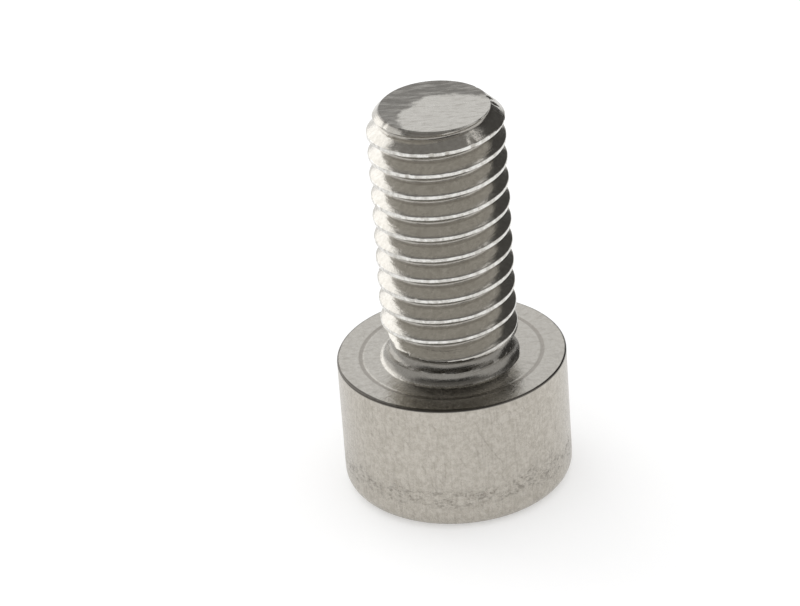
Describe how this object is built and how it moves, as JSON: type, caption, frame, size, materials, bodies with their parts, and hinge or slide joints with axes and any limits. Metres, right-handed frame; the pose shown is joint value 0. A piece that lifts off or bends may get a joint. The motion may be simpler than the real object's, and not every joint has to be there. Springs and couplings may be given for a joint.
{
  "type": "hex socket cap screw",
  "caption": "Stainless steel screw with a tall plain cylindrical head, a hex socket in its end and a short fully threaded shank with a chamfered tip.",
  "frame": {"origin": "centre of the bearing face under the head", "axes": "+Z along the shank towards its tip, -Z out of the hex socket in the head end; two flats of the socket face +Y and -Y"},
  "size_m": [0.01, 0.01, 0.018],
  "materials": {
    "stainless_steel": "satin stainless steel, turned and rolled, with fine scratches and scuffs"
  },
  "bodies": {
    "root": {"cap_screw": "stainless_steel"}
  },
  "joints": []
}
